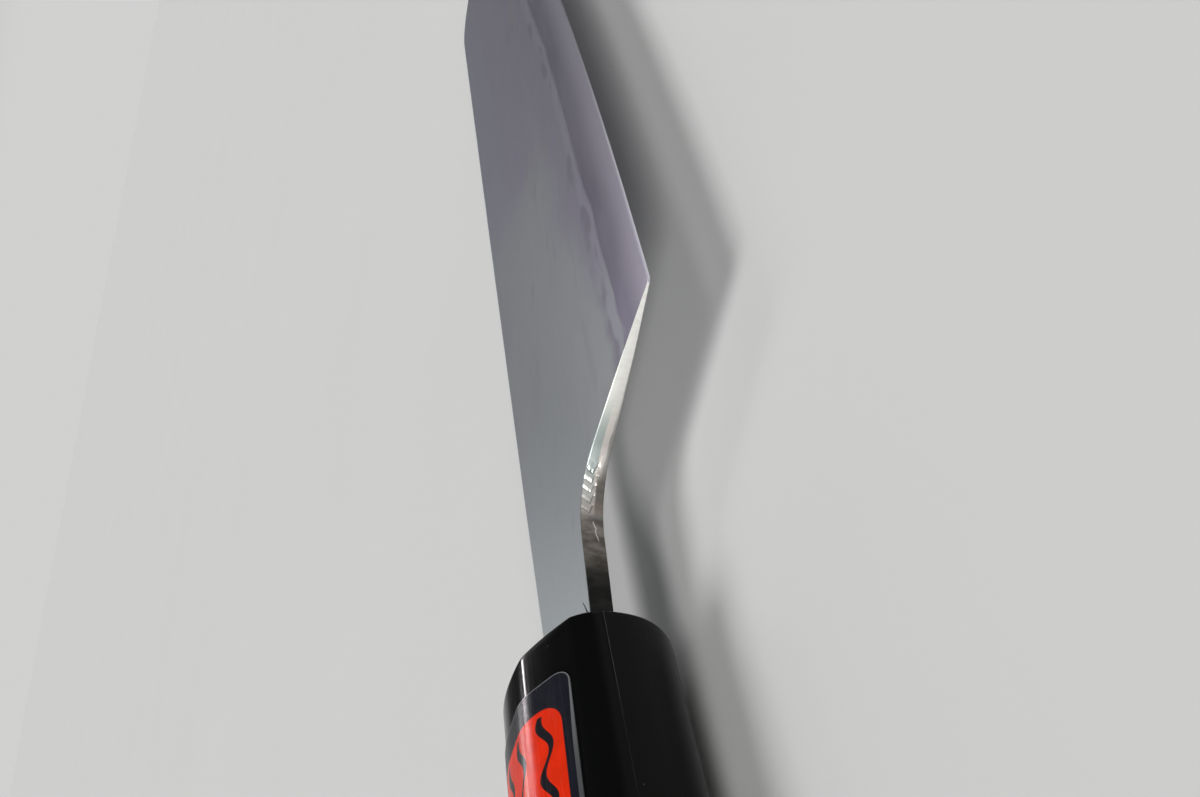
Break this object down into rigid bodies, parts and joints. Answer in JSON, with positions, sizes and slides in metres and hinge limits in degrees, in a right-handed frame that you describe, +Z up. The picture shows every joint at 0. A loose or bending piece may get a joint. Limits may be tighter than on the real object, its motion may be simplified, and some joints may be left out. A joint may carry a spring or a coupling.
{
  "type": "santoku knife",
  "caption": "Santoku knife with a laminated steel blade, a curved choil, a dropped tip and a black resin handle with a blunt ridge and a wrapped label.",
  "frame": {"origin": "under the middle of the knife's box, on the surface that it lies on with its left-hand face down", "axes": "+X along the knife towards the tip, +Y across the blade towards the spine, +Z up out of the right-hand face"},
  "size_m": [0.3426, 0.0506, 0.0222],
  "materials": {
    "core_steel": "polished hard steel, darker than the cladding, with fine cloud-like grain",
    "clad_steel": "satin soft steel with faint wavy streaks; polished at the choil, forge scale under the neck",
    "black_resin": "moulded near-black resin with a deep gloss and a fine parting line",
    "seal_resin": "dull dark resin with a slightly uneven bead",
    "label_film": "glossy navy-black film with a thin grey border and a red panel crossed by dark waves",
    "pin_steel": "plain turned steel, hidden inside the handle"
  },
  "bodies": {
    "root": {"blade_core": "core_steel", "cladding_right": "clad_steel", "cladding_left": "clad_steel", "handle_right": "black_resin", "handle_left": "black_resin", "mouth_seal": "seal_resin", "label": "label_film", "tang_pin_front": "pin_steel", "tang_pin_rear": "pin_steel"}
  },
  "joints": []
}
